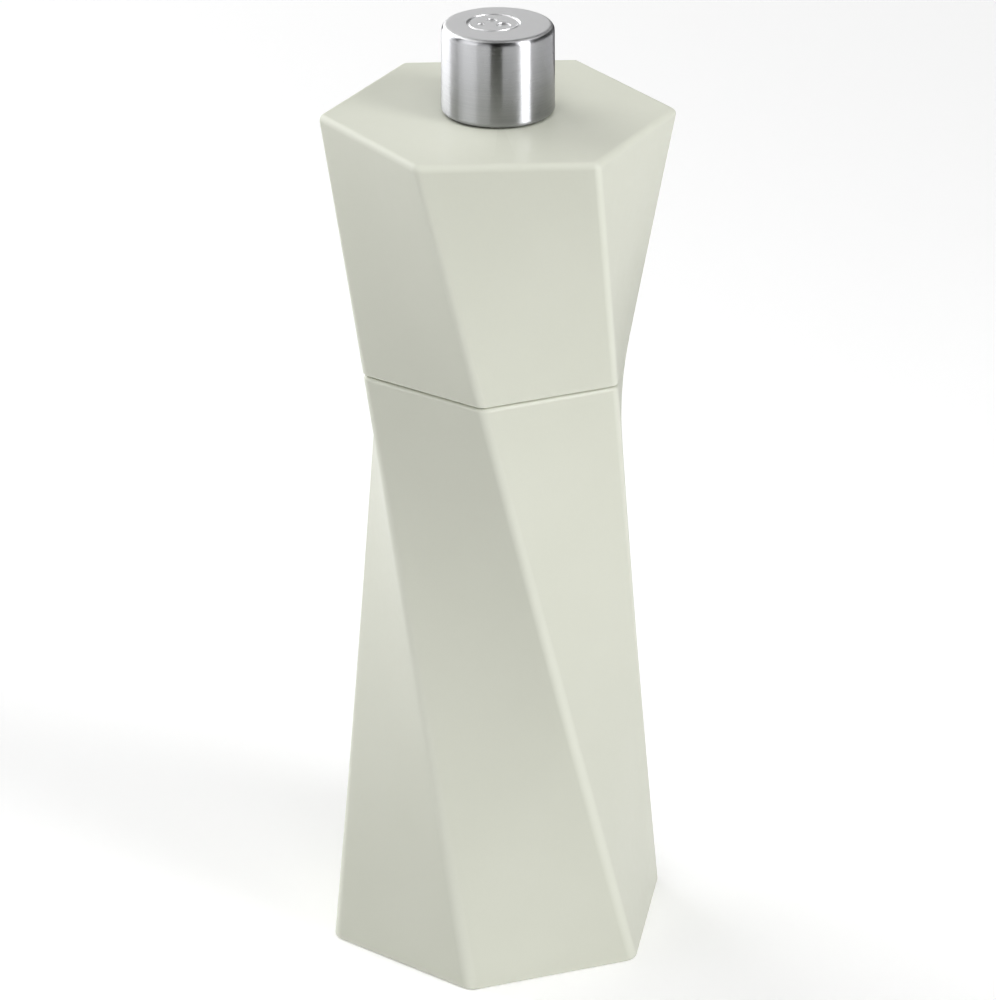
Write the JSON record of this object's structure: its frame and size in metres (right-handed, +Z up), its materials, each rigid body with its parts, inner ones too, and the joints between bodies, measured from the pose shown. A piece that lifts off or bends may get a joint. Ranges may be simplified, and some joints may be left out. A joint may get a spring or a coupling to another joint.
{
  "type": "pepper mill",
  "caption": "Twisted six-sided pepper mill with a turning upper half, a metal adjusting knob on a square spindle and a spring-loaded burr grinder in its base.",
  "frame": {"origin": "centre of the base's flat underside, on the mill's long axis", "axes": "+Z up along the spindle towards the knob; +X towards a corner of the head's top at rest; +Y completes a right-handed frame"},
  "size_m": [0.0646, 0.065, 0.18],
  "materials": {
    "lacquered_wood": "pale sage grey lacquer over turned wood, satin, with softly rounded edges",
    "nylon": "matt natural nylon",
    "hardened_steel": "dark hardened steel with a thin oil film",
    "plated_steel": "bright zinc-plated steel",
    "brushed_steel": "stainless steel brushed round the side, satin on top",
    "black_plastic": "matt moulded plastic",
    "brass": "plain machined brass"
  },
  "bodies": {
    "mill_body": {"body_shell": "lacquered_wood", "glide_ring": "nylon", "stator": "hardened_steel", "bridge": "plated_steel", "retaining_plate": "plated_steel", "plate_screw_1": "plated_steel", "plate_screw_2": "plated_steel", "plate_screw_3": "plated_steel"},
    "spring_seat": {"spring_washer": "plated_steel", "spring": "hardened_steel"},
    "drive": {"spindle": "plated_steel", "rotor": "hardened_steel", "rotor_washer": "plated_steel", "rotor_nut": "plated_steel"},
    "head": {"head_shell": "lacquered_wood", "drive_plate": "plated_steel", "drive_screw_1": "plated_steel", "drive_screw_2": "plated_steel"},
    "knob_seat": {"knob_washer": "nylon"},
    "knob": {"knob_cap": "brushed_steel", "knob_core": "black_plastic", "knob_insert": "brass"}
  },
  "joints": [
    {"name": "grind_turn", "type": "hinge", "parent": "mill_body", "child": "spring_seat", "pos_m": [0, 0, 0.0344], "axis": [0, 0, 1], "continuous": true},
    {"name": "fineness_shift", "type": "slide", "parent": "spring_seat", "child": "drive", "axis": [0, 0, 1], "range_m": [-0.0006, 0.0006], "deforming": ["spring"]},
    {"name": "head_lift", "type": "slide", "parent": "spring_seat", "child": "head", "axis": [0, 0, 1], "range_m": [0, 0.08]},
    {"name": "knob_lift", "type": "slide", "parent": "head", "child": "knob_seat", "axis": [0, 0, 1], "range_m": [0, 0.02]},
    {"name": "knob_turn", "type": "hinge", "parent": "knob_seat", "child": "knob", "pos_m": [0, 0, 0.1718], "axis": [0, 0, 1], "range_deg": [-270, 270]}
  ],
  "couplings": [
    {"joint": "knob_turn", "follows": "fineness_shift", "rad_per_m": -7853.9}
  ]
}
